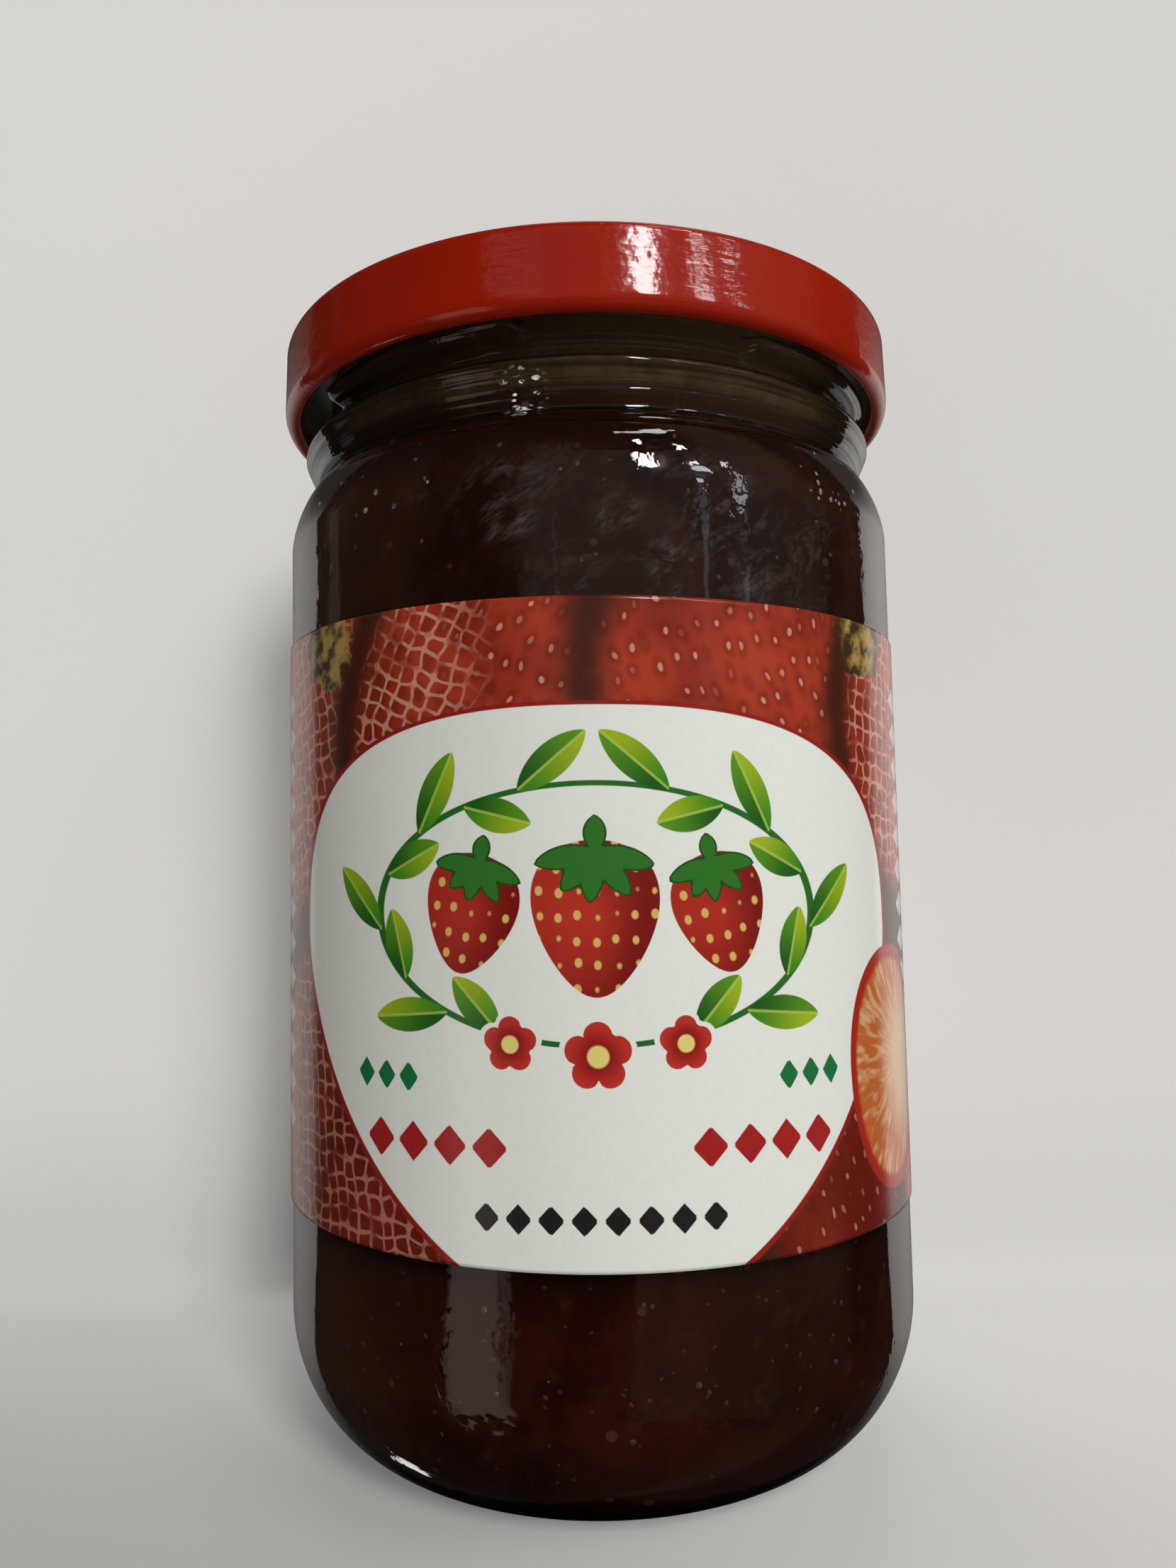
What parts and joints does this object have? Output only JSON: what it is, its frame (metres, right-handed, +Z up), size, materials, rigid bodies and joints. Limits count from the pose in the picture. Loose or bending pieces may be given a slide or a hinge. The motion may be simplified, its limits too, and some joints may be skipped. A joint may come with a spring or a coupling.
{
  "type": "jam jar",
  "caption": "Straight glass twist-off jar of dark red jam with a rounded heel, a neck bead, a wrap-round printed label and a red metal lid.",
  "frame": {"origin": "on the surface the jar stands on, under the middle of its base", "axes": "+Z up along the jar's axis; -Y towards the front of the label; +X to the right seen from the front"},
  "size_m": [0.0858, 0.0858, 0.1452],
  "materials": {
    "clear_glass": "clear and glossy, with faint mould seams",
    "jam": "dark red-brown fruit jam with small seeds and bubbles",
    "label_paper": "glossy coated paper with a red berry-skin print and a plain pale panel",
    "lid_lacquer": "glossy red lacquer on tinplate"
  },
  "bodies": {
    "root": {"glass_jar": "clear_glass", "jam": "jam", "label": "label_paper", "lid": "lid_lacquer"}
  },
  "joints": []
}
